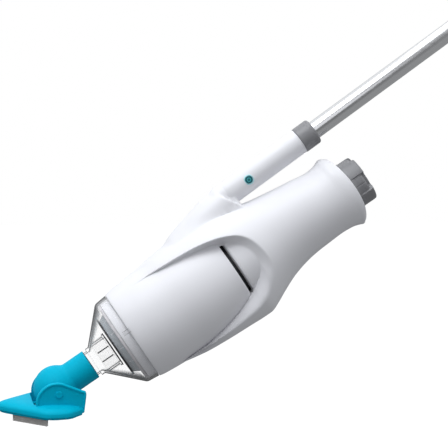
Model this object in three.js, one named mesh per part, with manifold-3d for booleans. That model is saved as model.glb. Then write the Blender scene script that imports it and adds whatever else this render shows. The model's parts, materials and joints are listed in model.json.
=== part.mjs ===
// A cordless pool and spa vacuum on a pole: clear nose and hinged brush head in front, debris chamber held by
// two arms of the housing, pump, motor and battery behind it, dial at the rear, pole socket on top.
// Millimetres, +Z up, nose towards -X, pole towards +X. The origin is the centre of the pole's upper end.
import * as THREE from "three";
import { mergeVertices } from "three/addons/utils/BufferGeometryUtils.js";
import Module from "manifold-3d";

const wasm = await Module();
wasm.setup();

// ---- driving dimensions ----
const BODY_TILT = 34; // degrees, machine axis above the horizontal
const POLE_SPLAY = 1.9; // degrees, pole axis away from the machine axis
const HEAD_ROLL = 8; // degrees, how far the head is swivelled at rest
const GAP = 0.3; // between pieces that touch
const WALL = 3; // housing wall
const SIDES = 32; // facets of a large round section

const NECK_R = 23.5; // swivel neck, outside
const NECK_END = -3; // its upper end, short of the clear cone
const SPIGOT_R = 20; // nose spigot that the neck turns on
const SPIGOT_BORE = 17.6;
const CONE = { start: 8, end: 52, r0: 23.5, r1: 69.5, wall: 2.5 }; // 45 degree clear cone
const SKIRT = { end: 73, r: 72.6 };
const DUCT = { x0: 13.5, x1: 37, r: 25, bore: 22, flange: 28 };
const FILTER = { x: 41.5, r: 49.5, mouth: 24, depth: 165, belly: 59, tail: 50, wall: 2.2 };
const FLAP = { x: 45.2, r: 20.5, t: 1.6 };
const CHAMBER = { x0: 59.2, shoulder: 73.4, x1: 254, wall: 2.5 };
const SLOT = 6.8; // width of the discharge slot behind the chamber
const IMPELLER = { x0: 232, x1: 250, r: 38, hub: 11, blades: 7 };
const MOTOR = { x0: 272, x1: 334, r: 25.5, shaft: 3 };
const BULKHEAD = { x: 309, t: 4 };
const CELLS = { count: 6, ring: 27, r: 10.6, x0: 345, length: 70 };
const REAR = { x0: 461, x1: 468, r: 48.5 };
const DIAL = { x0: 471.5, x1: 498.5, r: 38, dips: 4, dip: 3.5, dipWidth: 45, turn: 5.5 };
const SOCKET = { x: 300, z: 95.4, length: 148, r: 19.5, bore: 14.5, tip: 17.4, taper: 14 };
const COLLAR = { length: 27, r: 20.5 };
const POLE = { start: 5, length: 462, r: 14, wall: 1.3 };
const BUTTON = { x: 49.5, r: 5.8, travel: 4, proud: 1.2 };
const HUB = { x: -65, r: 33.5, wall: 3, cut: -24 };
const HEAD = { sole: -33, half: 65, cheek: 37, cheekT: 4.5, edge: 10 };
const BRISTLE = 10; // free length of the bristles

// Housing outline: [x, top, bottom, half width]
const HOUSING = [
  [112, 78, -79, 78],
  [150, 82, -84.6, 82.5],
  [190, 86, -87.4, 84.5],
  [230, 88, -89.2, 85],
  [258, 87.5, -90.4, 84],
  [270, 86, -90, 82],
  [284, 82.5, -84.5, 78],
  [304, 76, -75, 71],
  [328, 69.5, -65, 63.5],
  [360, 64, -57, 57.5],
  [400, 58.5, -53.5, 54],
  [434, 54.6, -53, 52.5],
  [446, 56.5, -54.6, 52.8],
  [456, 60, -57.6, 53.2],
  [462, 57.6, -59.4, 53],
  [467, 53.6, -55, 52.6],
];
const REAR_BOW = 6; // how far the rear rim bulges backwards at the sides
// Hump over the socket: [x, top, bottom, half width]
const HUMP = [
  [172, 82, 42, 16],
  [200, 91.5, 42, 28],
  [240, 103, 46, 33],
  [275, 108.5, 52, 30],
  [300, 112.5, 62, 26],
  [321, 116.5, 72.5, 22.6],
];
// Barrel of the debris chamber: [x, radius]
const BARREL = [
  [CHAMBER.shoulder, 73.4],
  [92, 75.8],
  [110, 77.6],
  [111.4, 76.2],
  [150, 77.6],
  [190, 76.4],
  [225, 71],
  [CHAMBER.x1, 64],
];
// Side recess: outer rim and foot of its wall, each a half ellipse that opens forwards
const RIM = { x: 225, z: -12, a: 80, up: 78, down: 61 };
const FOOT = { x: 225, z: -10, a: 64, up: 68, down: 53 };

// ---- materials ----
const material = (color, roughness, metalness = 0, extra = {}) =>
  new THREE.MeshStandardMaterial({ color, roughness, metalness, ...extra });
const WHITE = material(0xf1f2f5, 0.28);
const PEARL = material(0xdfe3e8, 0.3);
const TEAL = material(0x00a9cf, 0.3);
const GREY = material(0x77787c, 0.5);
const DARK = material(0x3a3b3f, 0.6);
const CLEAR = material(0xe6eef2, 0.08, 0, { transparent: true, opacity: 0.35 });
const ALUMINIUM = material(0xc9cbce, 0.3, 1);
const STEEL = material(0xa6a8ab, 0.3, 1);
const RUBBER = material(0x55575a, 0.75);
const BRISTLES = material(0x98938f, 0.8);
const MESH_CLOTH = material(0xd8dde0, 0.8);
const CELL = material(0x2f6b58, 0.45);
const BOARD = material(0x1f6b3a, 0.6);

// ---- geometry helpers ----
const rad = THREE.MathUtils.degToRad;

// A closed geometry as a manifold-3d solid, its faces turned outwards.
function solid(geometry) {
  const bare = new THREE.BufferGeometry();
  bare.setAttribute("position", geometry.getAttribute("position").clone());
  if (geometry.index) bare.setIndex(geometry.index.clone());
  const merged = mergeVertices(bare, 1e-4);
  const build = (triVerts) =>
    new wasm.Manifold(
      new wasm.Mesh({ numProp: 3, vertProperties: merged.attributes.position.array, triVerts }),
    );
  const index = new Uint32Array(merged.index.array);
  const made = build(index);
  if (made.volume() >= 0) return made;
  for (let i = 0; i < index.length; i += 3) [index[i], index[i + 1]] = [index[i + 1], index[i]];
  return build(index);
}

// A manifold-3d solid as a BufferGeometry.
function geometryOf(made) {
  const { numProp, vertProperties, triVerts } = made.getMesh();
  const count = vertProperties.length / numProp;
  const position = new Float32Array(count * 3);
  for (let i = 0; i < count; i++)
    for (let k = 0; k < 3; k++) position[3 * i + k] = vertProperties[numProp * i + k];
  const geometry = new THREE.BufferGeometry();
  geometry.setAttribute("position", new THREE.BufferAttribute(position, 3));
  geometry.setIndex(new THREE.BufferAttribute(new Uint32Array(triVerts), 1));
  const flat = geometry.toNonIndexed();
  flat.computeVertexNormals();
  return flat;
}

function piece(group, name, made, look) {
  const mesh = new THREE.Mesh(geometryOf(made), look);
  mesh.name = name;
  group.add(mesh);
  return mesh;
}

// A solid turned about the X axis. The profile is a list of [x, r] that closes on itself.
function turned(profile, sides = SIDES) {
  const points = profile.map(([x, r]) => new THREE.Vector2(r, x));
  if (profile.every(([, r]) => r > 0)) points.push(points[0].clone());
  const lathe = new THREE.LatheGeometry(points, sides);
  lathe.rotateZ(-Math.PI / 2);
  return solid(lathe);
}

const rod = (x0, x1, r, sides = 24) =>
  turned([[x0, 0], [x0, r], [x1, r], [x1, 0]], sides);
const tube = (x0, x1, r, bore, sides = SIDES) =>
  turned([[x0, bore], [x0, r], [x1, r], [x1, bore]], sides);

// A sector of a ring about the X axis, its middle deg from +Y towards +Z.
function sector(x0, x1, r0, r1, deg, width, steps = 6) {
  const arc = (r, k) => {
    const a = rad(deg + width * (k / steps - 0.5));
    return [r * Math.cos(a), r * Math.sin(a)];
  };
  const outer = Array.from({ length: steps + 1 }, (_, k) => arc(r1, k));
  const inner = Array.from({ length: steps + 1 }, (_, k) => arc(r0, steps - k));
  const ring = (x) => [...outer, ...inner].map(([y, z]) => new THREE.Vector3(x, y, z));
  return loft([ring(x0), ring(x1)]);
}

// A rod that runs along Y, or along Z.
function rodY(x, z, y0, y1, r, sides = 20) {
  const g = new THREE.CylinderGeometry(r, r, y1 - y0, sides);
  g.translate(x, (y0 + y1) / 2, z);
  return solid(g);
}
function rodZ(x, y, z0, z1, r, sides = 20) {
  const g = new THREE.CylinderGeometry(r, r, z1 - z0, sides);
  g.rotateX(Math.PI / 2);
  g.translate(x, y, (z0 + z1) / 2);
  return solid(g);
}

function block(x0, x1, y0, y1, z0, z1) {
  const g = new THREE.BoxGeometry(x1 - x0, y1 - y0, z1 - z0);
  g.translate((x0 + x1) / 2, (y0 + y1) / 2, (z0 + z1) / 2);
  return solid(g);
}

// A solid through a row of closed rings with equal point counts, capped at both ends.
function loft(rings) {
  const n = rings[0].length;
  const position = rings.flat().flatMap((p) => [p.x, p.y, p.z]);
  const index = [];
  for (let i = 0; i + 1 < rings.length; i++)
    for (let k = 0; k < n; k++) {
      const a = i * n + k;
      const b = i * n + ((k + 1) % n);
      index.push(a, b, a + n, b, b + n, a + n);
    }
  [0, rings.length - 1].forEach((i) => {
    const middle = new THREE.Vector3();
    rings[i].forEach((p) => middle.addScaledVector(p, 1 / n));
    const m = position.length / 3;
    position.push(middle.x, middle.y, middle.z);
    for (let k = 0; k < n; k++) {
      const a = i * n + k;
      const b = i * n + ((k + 1) % n);
      index.push(...(i ? [a, b, m] : [b, a, m]));
    }
  });
  const g = new THREE.BufferGeometry();
  g.setAttribute("position", new THREE.Float32BufferAttribute(position, 3));
  g.setIndex(index);
  return solid(g);
}

// Smooth stations between the rows of an outline table.
function stations(rows, count) {
  const first = new THREE.SplineCurve(rows.map((r) => new THREE.Vector2(r[0], r[1])));
  const second = new THREE.SplineCurve(rows.map((r) => new THREE.Vector2(r[2], r[3])));
  return Array.from({ length: count }, (_, i) => {
    const p = first.getPoint(i / (count - 1));
    const q = second.getPoint(i / (count - 1));
    return [p.x, p.y, q.x, q.y];
  });
}

// An elliptical body along X through a table of stations, shrunk by inset.
function hull(rows, count, inset = 0, bow = () => 0, sides = SIDES) {
  return loft(
    stations(rows, count).map(([x, top, bottom, half]) =>
      Array.from({ length: sides }, (_, k) => {
        const a = (2 * Math.PI * k) / sides;
        const y = Math.cos(a) * (half - inset);
        const z = (top + bottom) / 2 + Math.sin(a) * ((top - bottom) / 2 - inset);
        return new THREE.Vector3(x + bow(x) * Math.cos(a) ** 2, y, z);
      }),
    ),
  );
}

// Value of a table column at x, along straight lines between its rows.
function at(rows, column, x) {
  const i = Math.max(1, rows.findIndex((r) => r[0] >= x));
  const [a, b] = x > rows.at(-1)[0] ? rows.slice(-2) : [rows[i - 1], rows[i]];
  return THREE.MathUtils.mapLinear(THREE.MathUtils.clamp(x, a[0], b[0]), a[0], b[0], a[column], b[column]);
}

function extruded(shape, depth, bevel = 0) {
  const points = shape.getPoints(5);
  if (points[0].distanceTo(points.at(-1)) < 1e-6) points.pop();
  return new THREE.ExtrudeGeometry(new THREE.Shape(points), {
    depth: depth - 2 * bevel,
    bevelEnabled: bevel > 0,
    bevelThickness: bevel,
    bevelSize: bevel,
    bevelOffset: -bevel,
    bevelSegments: 1,
  }).translate(0, 0, bevel);
}

// A shape drawn in XZ and extruded from y0 to y1.
function plateY(shape, y0, y1, bevel = 0) {
  return solid(extruded(shape, y1 - y0, bevel).rotateX(Math.PI / 2).translate(0, y1, 0));
}
// A shape drawn in XY and extruded from z0 to z1.
const plateZ = (shape, z0, z1, bevel = 0) =>
  solid(extruded(shape, z1 - z0, bevel).translate(0, 0, z0));

const joined = (list) => list.reduce((a, b) => a.add(b));
const around = (count, make) =>
  Array.from({ length: count }, (_, i) => make((360 * i) / count, i));

// ---- groups: each turned frame of the machine ----
const part = new THREE.Group();
const machine = new THREE.Group(); // X along the machine axis, towards the rear
machine.rotation.y = -rad(BODY_TILT);
part.add(machine);
const polar = new THREE.Group(); // X along the pole
polar.position.set(SOCKET.x, 0, SOCKET.z);
polar.rotation.y = -rad(POLE_SPLAY);
machine.add(polar);
const neck = new THREE.Group(); // turns about the machine axis
neck.rotation.x = rad(HEAD_ROLL);
machine.add(neck);
const head = new THREE.Group(); // level, on the hinge of the hub
head.position.x = HUB.x;
head.rotation.y = rad(BODY_TILT);
neck.add(head);

// Brings a solid made in the pole's frame into the machine's frame.
function fromPolar(geometrySolid) {
  const g = geometryOf(geometrySolid);
  return solid(g.rotateY(-rad(POLE_SPLAY)).translate(SOCKET.x, 0, SOCKET.z));
}

// ---- housing ----
const bow = (x) => REAR_BOW * THREE.MathUtils.smoothstep(x, REAR.x0 - 25, REAR.x1);

// Surface of the side recess: rim ring on the housing, foot ring on the barrel, grown by wall.
function recess(side, wall) {
  const outline = (o, grow) => {
    const points = [];
    for (const x of [50, 120, 175]) points.push([x, o.z + o.up + grow]);
    const steps = 12;
    for (let i = 0; i <= steps; i++) {
      const a = Math.PI / 2 - (Math.PI * i) / steps;
      const b = Math.sin(a) > 0 ? o.up : o.down;
      points.push([o.x + Math.cos(a) * (o.a + grow), o.z + Math.sin(a) * (b + grow)]);
    }
    for (const x of [175, 120, 50]) points.push([x, o.z - o.down - grow]);
    return points;
  };
  const rim = outline(RIM, wall);
  const foot = outline(FOOT, wall);
  const height = (r, z) => Math.sqrt(Math.max(r * r - z * z, 900));
  const ring = (t) =>
    rim.map(([x, z], i) => {
      const [fx, fz] = foot[i];
      const shell = at(HOUSING, 3, x) / Math.max(at(HOUSING, 1, x), 1);
      const y1 = height(at(HOUSING, 1, x), z) * shell;
      const y0 = height(at(BARREL, 1, fx) - 6, fz) - wall;
      return new THREE.Vector3(fx + (x - fx) * t, side * (y0 + (y1 - y0) * t), fz + (z - fz) * t);
    });
  return loft([ring(0), ring(1), ring(2.2)]);
}

function housing() {
  const outer = hull(HOUSING, 21, 0, bow).add(hull(HUMP, 8, 0, undefined, 20));
  const inner = hull([[100, 78, -79, 78], ...HOUSING, [480, 54, -54, 52.6]], 14, WALL, undefined, 24);
  const humpInner = hull(HUMP.slice(0, 5), 6, WALL, undefined, 16);
  const barrel = turned([
    [50, 0],
    [50, CHAMBER.shoulder + GAP],
    ...BARREL.slice(1).map(([x, r]) => [x, r + GAP]),
    [CHAMBER.x1 + SLOT, BARREL.at(-1)[1] + GAP],
    [CHAMBER.x1 + SLOT, 0],
  ]);
  const bore = fromPolar(
    turned([
      [-2, 0],
      [-2, SOCKET.tip + GAP],
      [0, SOCKET.tip + GAP],
      [SOCKET.taper, SOCKET.r + GAP],
      [60, SOCKET.r + GAP],
      [60, 0],
    ]),
  );
  let made = outer.subtract(inner).subtract(humpInner);
  for (const side of [-1, 1]) made = made.add(recess(side, WALL).intersect(outer));
  for (const side of [-1, 1]) made = made.subtract(recess(side, 0));
  return made.subtract(barrel).subtract(bore);
}

const shell = housing();
const largest = (made) => made.decompose().sort((a, b) => b.volume() - a.volume())[0];
piece(machine, "housing_left", largest(shell.intersect(block(0, 600, -200, -GAP / 2, -200, 200))), WHITE);
piece(machine, "housing_right", largest(shell.intersect(block(0, 600, GAP / 2, 200, -200, 200))), WHITE);

// ---- debris chamber ----
const barrelInside = BARREL.map(([x, r]) => [x, Math.min(r, 76.2) - CHAMBER.wall]).reverse();
piece(
  machine,
  "debris_chamber",
  turned([
    [CHAMBER.x0, 66.8],
    [CHAMBER.shoulder, 66.8],
    ...BARREL,
    ...barrelInside.slice(0, -1),
    [CHAMBER.shoulder + 3, 64.3],
    [CHAMBER.x0, 64.3],
  ]),
  PEARL,
);

// ---- nose: clear cone with its spigot, duct, gasket, latch tabs, filter ----
function noseCone() {
  const w = CONE.wall;
  return turned([
    [-28, SPIGOT_R - 0.1],
    [3, SPIGOT_R - 0.1],
    [3, CONE.r0],
    [CONE.start, CONE.r0],
    [CONE.end, CONE.r1],
    [CONE.end + 3, 70.7],
    [SKIRT.end, SKIRT.r],
    [SKIRT.end, SKIRT.r - w],
    [CONE.end + 3, 70.7 - w],
    [CONE.end + 1, CONE.r1 - w],
    [CONE.start + 1.6, CONE.r0 - w],
    [6, SPIGOT_BORE],
    [-28, SPIGOT_BORE],
  ]);
}
piece(machine, "nose_cone", noseCone(), CLEAR);
piece(
  machine,
  "inlet_duct",
  turned([
    [DUCT.x0, DUCT.bore],
    [DUCT.x0, DUCT.r],
    [DUCT.x1 - 2, DUCT.r],
    [DUCT.x1 - 2, DUCT.flange],
    [DUCT.x1, DUCT.flange],
    [DUCT.x1, DUCT.bore],
  ], 16),
  CLEAR,
);
piece(machine, "nose_gasket", tube(54.2, CHAMBER.x0 - GAP, 67, 62), RUBBER);
for (const [side, word] of [[-1, "left"], [1, "right"]]) {
  const tab = block(64, 76, side * 74.2 - 1.7, side * 74.2 + 1.7, 16, 22).add(
    block(66, 70, side * 73.4 - 2.6, side * 73.4 + 2.6, 17, 21),
  );
  const skin = turned([[50, 0], [50, SKIRT.r + GAP], [200, SKIRT.r + GAP + 1.6], [200, 0]], 96);
  piece(machine, "nose_tab_" + word, largest(tab.subtract(skin)), CLEAR);
}
piece(machine, "filter_frame", tube(FILTER.x, FILTER.x + 2.4, FILTER.r, FILTER.mouth), DARK);
const basketStart = FILTER.x + 2.7;
const basketEnd = basketStart + FILTER.depth;
function filterBasket() {
  const { belly, tail, wall } = FILTER;
  const outline = [
    [basketStart, 46],
    [basketStart + 26, belly],
    [basketStart + 70, belly],
    [basketEnd - 3.5, tail],
  ];
  const inside = outline.toReversed().map(([x, r]) => [x, r - wall]);
  return turned([...outline, ...inside], 24);
}
piece(machine, "filter_basket", filterBasket(), MESH_CLOTH);
piece(machine, "filter_end_cap", rod(basketEnd - 3.2, basketEnd, FILTER.tail, 24), DARK);

// ---- inlet flap, hinged over the end of the duct ----
piece(machine, "inlet_flap", rod(FLAP.x, FLAP.x + FLAP.t, FLAP.r, 32), CLEAR);
piece(machine, "flap_pin", rodY(FLAP.x + 0.8, FLAP.r + 1.9, -12, 12, 1.3, 12), STEEL);

// ---- swivel neck and hub ----
function swivelNeck() {
  const bore = SPIGOT_R + 1.4;
  const outer = turned([
    [HUB.x, 0],
    [HUB.x, NECK_R],
    [NECK_END, NECK_R],
    [NECK_END, 0],
  ]);
  const ball = new THREE.SphereGeometry(HUB.r, 24, 12).translate(HUB.x, 0, 0);
  const hollow = new THREE.SphereGeometry(HUB.r - HUB.wall, 16, 9).translate(HUB.x, 0, 0);
  const throat = turned([
    [HUB.x, 0],
    [HUB.x, SPIGOT_BORE],
    [-30, SPIGOT_BORE],
    [-30, bore],
    [10, bore],
    [10, 0],
  ]);
  const opening = block(-100, 100, -100, 100, -80, HUB.cut);
  const tilted = solid(geometryOf(opening).rotateY(rad(BODY_TILT)).translate(HUB.x, 0, 0));
  const pins = rodY(HUB.x, 0, -60, 60, 4.3);
  return outer.add(solid(ball)).subtract(solid(hollow)).subtract(throat).subtract(tilted).subtract(pins);
}
piece(neck, "swivel_neck", swivelNeck(), TEAL);
piece(neck, "neck_seal", tube(-24, -20, SPIGOT_R + 1.1, SPIGOT_R + 0.2, 24), RUBBER);

// ---- brush head ----
// Plan of the head: a shallow V in front, rounded flanks, narrower behind. Inset shrinks it about its middle.
function headPlan(inset = 0) {
  const middle = -22;
  const spot = (x, y, side) => [
    middle + (x - middle) * (1 - inset / 60),
    side * y * (1 - inset / HEAD.half),
  ];
  const p = new THREE.Shape();
  p.moveTo(...spot(-88, 0, 1));
  p.quadraticCurveTo(...spot(-88, 8, 1), ...spot(-76, 18, 1));
  p.lineTo(...spot(-30, 56, 1));
  p.quadraticCurveTo(...spot(-19, 65, 1), ...spot(-4, 65, 1));
  p.lineTo(...spot(10, 63, 1));
  p.quadraticCurveTo(...spot(20, 62, 1), ...spot(27, 52, 1));
  p.lineTo(...spot(38, 40, 1));
  p.lineTo(...spot(38, 40, -1));
  p.lineTo(...spot(27, 52, -1));
  p.quadraticCurveTo(...spot(20, 62, -1), ...spot(10, 63, -1));
  p.lineTo(...spot(-4, 65, -1));
  p.quadraticCurveTo(...spot(-19, 65, -1), ...spot(-30, 56, -1));
  p.lineTo(...spot(-76, 18, -1));
  p.quadraticCurveTo(...spot(-88, 8, -1), ...spot(-88, 0, 1));
  return p;
}
function cheekShape() {
  const p = new THREE.Shape();
  const c = { x: -3, z: -13, r: 31 };
  p.moveTo(c.x - c.r, HEAD.sole + 4);
  p.lineTo(c.x - c.r, c.z);
  p.absarc(c.x, c.z, c.r, Math.PI, Math.PI * 0.42, true);
  p.lineTo(36, 4.5);
  p.lineTo(36, HEAD.sole + 4);
  return p;
}
function mouthShape(x0, x1, half) {
  const r = Math.min(10, half / 2, (x1 - x0) / 3);
  const p = new THREE.Shape();
  p.moveTo(x0, -half + r);
  p.lineTo(x0, half - r);
  p.quadraticCurveTo(x0, half, x0 + r, half);
  p.lineTo(x1 - r, half);
  p.quadraticCurveTo(x1, half, x1, half - r);
  p.lineTo(x1, -half + r);
  p.quadraticCurveTo(x1, -half, x1 - r, -half);
  p.lineTo(x0 + r, -half);
  p.quadraticCurveTo(x0, -half, x0, -half + r);
  return p;
}
function headShell() {
  const z0 = HEAD.sole + 3.3;
  const base = plateZ(headPlan(), z0, HEAD.sole + HEAD.edge + 4, 2);
  const deck = plateZ(headPlan(12), z0, HEAD.sole + HEAD.edge + 8, 3.5);
  const cheeks = [-1, 1].map((side) => {
    const y = side * (HEAD.cheek + HEAD.cheekT / 2);
    return plateY(cheekShape(), y - HEAD.cheekT / 2, y + HEAD.cheekT / 2, 1.4);
  });
  const well = plateZ(mouthShape(-37, 60, HEAD.cheek), -60, 60);
  const sill = plateZ(mouthShape(30, 38, HEAD.cheek + 1), z0, HEAD.sole + 10);
  const pin = rodY(0, 0, -70, 70, 4.3);
  const pockets = [-1, 1].map((side) => bristleSlot(side, GAP, z0 - 1, z0 + 3));
  const screws = SCREWS.map(([x, y]) => rodZ(x, y, -60, HEAD.sole + 12, 1.9, 12));
  return joined([base, deck, ...cheeks])
    .subtract(well)
    .add(sill.intersect(base))
    .subtract(pin)
    .subtract(joined(pockets))
    .subtract(joined(screws));
}
const SCREWS = [[-47, 16], [-47, -16], [14, 52], [14, -52]]; // sole screws: [x, y]
// A bristle strip lies along each half of the V: a block from z0 to z1, grown by gap.
function bristleSlot(side, gap, z0, z1, width = 5) {
  const a = new THREE.Vector2(-66, 17.6);
  const b = new THREE.Vector2(-20, 55.6);
  const dir = b.clone().sub(a).normalize();
  const out = new THREE.Vector2(-dir.y, dir.x);
  const corner = (p, along, across) => [
    p.x + dir.x * along + out.x * across,
    side * (p.y + dir.y * along + out.y * across),
  ];
  const p = new THREE.Shape();
  const h = width / 2 + gap;
  p.moveTo(...corner(a, -gap, -h));
  p.lineTo(...corner(b, gap, -h));
  p.lineTo(...corner(b, gap, h));
  p.lineTo(...corner(a, -gap, h));
  return plateZ(p, z0, z1);
}
piece(head, "head_shell", headShell(), TEAL);

function solePlate() {
  const z0 = HEAD.sole;
  const base = plateZ(headPlan(3), z0, z0 + 3, 0.8);
  const mouth = plateZ(mouthShape(-32, 24, 31), -60, 0);
  const strips = [-1, 1].map((side) => bristleSlot(side, GAP, -60, 0));
  const screws = SCREWS.map(([x, y]) => rodZ(x, y, -60, 0, 3.3, 16));
  return base.subtract(mouth).subtract(joined([...strips, ...screws]));
}
piece(head, "sole_plate", solePlate(), TEAL);
for (const [side, word] of [[-1, "left"], [1, "right"]]) {
  const z = HEAD.sole;
  piece(head, "bristle_holder_" + word, bristleSlot(side, 0, z - 0.5, z + 6), DARK);
  piece(head, "bristles_" + word, bristleSlot(side, 0, z - BRISTLE, z - 0.5 - GAP, 4.4), BRISTLES);
  piece(head, "hinge_pin_" + word,
    rodY(0, 0, side > 0 ? 26 : -42, side > 0 ? 42 : -26, 4), STEEL);
}
SCREWS.forEach(([x, y], i) => {
  const z = HEAD.sole;
  piece(head, `sole_screw_${i + 1}`,
    rodZ(x, y, z + 0.4, z + 2.6, 3, 16).add(rodZ(x, y, z + 2, z + 10, 1.6, 12)), STEEL);
});

// ---- pump ----
piece(machine, "impeller_guard", impellerGuard(), DARK);
function impellerGuard() {
  const x = IMPELLER.x0 - 9;
  const holes = around(10, (deg, i) => {
    const r = i % 2 ? 24 : 40;
    const a = rad(deg);
    return solid(geometryOf(rod(x - 1, x + 4, 6.5, 8)).translate(0, r * Math.cos(a), r * Math.sin(a)));
  });
  return rod(x, x + 3, 60, 40).subtract(joined(holes));
}
piece(machine, "discharge_screen", tube(IMPELLER.x0 - 2.4, CHAMBER.x1 + SLOT - 0.5, 49.4, 47.8), DARK);
function pumpHousing() {
  const x0 = IMPELLER.x0 - 5.7;
  const x1 = CHAMBER.x1 + SLOT + 3;
  const cup = turned([
    [x0, 42], [x0, 60], [x0 + 3, 60], [x0 + 3, 46], [x1, 46], [x1, 5.2],
    [x1 - 3, 5.2], [x1 - 3, 42],
  ]);
  const windows = [-45, 45].map((y) => block(IMPELLER.x0 + 2, x1 - 4, y - 7, y + 7, -24, 24));
  return cup.subtract(joined(windows));
}
piece(machine, "pump_housing", pumpHousing(), DARK);
function impeller() {
  const { x0, x1, r, hub, blades } = IMPELLER;
  const back = rod(x1 - 2, x1, r, 36);
  const boss = rod(x0, x1, hub, 24);
  const blade = block(x0 + 3, x1 - 1, -1, 1, hub - 2, r);
  const vanes = around(blades, (deg) => solid(geometryOf(blade).rotateX(rad(deg))));
  return joined([back, boss, ...vanes]).subtract(rod(x0 - 1, x1 + 1, MOTOR.shaft + GAP, 16));
}
piece(machine, "impeller", impeller(), DARK);
piece(machine, "motor_shaft", rod(IMPELLER.x0 - 1, MOTOR.x0 - GAP, MOTOR.shaft, 16), STEEL);
piece(machine, "shaft_seal", tube(CHAMBER.x1 + SLOT + 3.4, MOTOR.x0 - 1, 9, MOTOR.shaft + GAP, 24), RUBBER);

// ---- motor, bulkhead, battery, electronics ----
piece(
  machine,
  "motor",
  rod(MOTOR.x0, MOTOR.x1, MOTOR.r, 32).subtract(rod(MOTOR.x0 - 1, MOTOR.x0 + 3, 8, 20)),
  STEEL,
);
function bulkhead() {
  const { x, t } = BULKHEAD;
  const row = (p) => [p, at(HOUSING, 1, p), at(HOUSING, 2, p), at(HOUSING, 3, p)];
  const disc = hull([row(x), row(x + t)], 2, WALL + 0.8);
  return disc.subtract(rod(x - 5, x + t + 5, MOTOR.r + GAP, 32));
}
piece(machine, "sealing_bulkhead", bulkhead(), DARK);
const sleeveR = CELLS.ring + CELLS.r + 0.6;
piece(machine, "battery_sleeve", tube(CELLS.x0 - 3, CELLS.x0 + CELLS.length + 3, sleeveR + 2.4, sleeveR), GREY);
around(CELLS.count, (deg, i) => {
  const a = rad(deg + 30);
  const cell = geometryOf(rod(CELLS.x0, CELLS.x0 + CELLS.length, CELLS.r, 24));
  cell.translate(0, CELLS.ring * Math.cos(a), CELLS.ring * Math.sin(a));
  piece(machine, `battery_cell_${i + 1}`, solid(cell), CELL);
});
piece(machine, "control_board", rod(CELLS.x0 + CELLS.length + 4, CELLS.x0 + CELLS.length + 6, 38, 32), BOARD);
piece(machine, "rotary_switch", rod(CELLS.x0 + CELLS.length + 6.3, REAR.x0 - 4, 13, 24), DARK);

// ---- rear cover and dial ----
const coverScrews = [45, 135, 225, 315].map((deg) => [43.6 * Math.cos(rad(deg)), 43.6 * Math.sin(rad(deg))]);
function rearCover() {
  const { x0, x1, r } = REAR;
  const holes = coverScrews.map(([y, z]) => solid(geometryOf(rod(x1 - 4, x1 + 1, 3.3, 16)).translate(0, y, z)));
  return rod(x0, x1, r).subtract(rod(x0 - 1, x1 + 1, 7.5, 24)).subtract(joined(holes));
}
piece(machine, "rear_cover", rearCover(), WHITE);
coverScrews.forEach(([y, z], i) => {
  const screw = geometryOf(rod(REAR.x1 - 3.7, REAR.x1 - 0.6, 3, 16)).translate(0, y, z);
  piece(machine, `cover_screw_${i + 1}`, solid(screw), STEEL);
});
piece(machine, "dial_seal", tube(REAR.x0 + 1, REAR.x1 - 1, 7.2, 4.4, 24), RUBBER);
piece(machine, "dial_spindle", rod(REAR.x0 - 3.7, DIAL.x0 + 7.7, 4, 20), STEEL);
function dialKnob() {
  const { x0, x1, r, dips, dip, dipWidth, turn } = DIAL;
  const body = turned([
    [x0, 0],
    [x0, r - 0.8],
    [x0 + 0.8, r],
    [x1 - 6.5, r],
    [x1 - 2.2, r - 2.2],
    [x1, r - 7],
    [x1, 0],
  ], 40);
  const edge = around(dips, (deg) => sector(x0 + 6, x1 + 1, r - 1.8, r + 5, deg + turn, dipWidth));
  const face = around(dips, (deg) => sector(x1 - dip, x1 + 1, r - 13, r + 5, deg + turn, dipWidth));
  return body.subtract(joined([...edge, ...face])).subtract(rod(x0 - 1, x0 + 8, 4 + GAP, 20));
}
piece(machine, "dial_knob", dialKnob(), GREY);

// ---- pole, socket and snap buttons ----
const buttonHole = (r) => rodY(BUTTON.x, 0, -40, 40, r, 16);
piece(
  polar,
  "pole_socket",
  turned([
    [0, SOCKET.bore],
    [0, SOCKET.tip],
    [SOCKET.taper, SOCKET.r],
    [SOCKET.length, SOCKET.r],
    [SOCKET.length, SOCKET.bore],
  ]).subtract(buttonHole(BUTTON.r + GAP)),
  WHITE,
);
const collarEnd = SOCKET.length + GAP + COLLAR.length;
piece(
  polar,
  "socket_collar",
  turned([
    [SOCKET.length + GAP, SOCKET.bore],
    [SOCKET.length + GAP, COLLAR.r - 0.6],
    [SOCKET.length + 1.6, COLLAR.r],
    [collarEnd - 2.6, COLLAR.r],
    [collarEnd - 0.8, COLLAR.r - 0.7],
    [collarEnd, COLLAR.r - 2.6],
    [collarEnd, SOCKET.bore],
  ]),
  GREY,
);
const poleEnd = POLE.start + POLE.length;
piece(polar, "pole_section",
  tube(POLE.start, poleEnd, POLE.r, POLE.r - POLE.wall, 28).subtract(buttonHole(BUTTON.r + GAP)), ALUMINIUM);
piece(
  polar,
  "pole_end_insert",
  turned([
    [poleEnd - 30, 0],
    [poleEnd - 30, POLE.r - POLE.wall - GAP],
    [poleEnd + GAP, POLE.r - POLE.wall - GAP],
    [poleEnd + GAP, POLE.r],
    [poleEnd + 3, POLE.r],
    [poleEnd + 3, 0],
  ], 24),
  GREY,
);
function lockSpring() {
  const p = new THREE.Shape();
  p.moveTo(8, 0);
  p.lineTo(14, 4.4);
  p.lineTo(BUTTON.x + 6, 5.2);
  p.lineTo(BUTTON.x + 6, 4.2);
  p.lineTo(15, 3.4);
  p.lineTo(10.5, 0);
  p.lineTo(15, -3.4);
  p.lineTo(BUTTON.x + 6, -4.2);
  p.lineTo(BUTTON.x + 6, -5.2);
  p.lineTo(14, -4.4);
  return plateZ(p, -4, 4);
}
piece(polar, "lock_spring", lockSpring(), STEEL);
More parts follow.
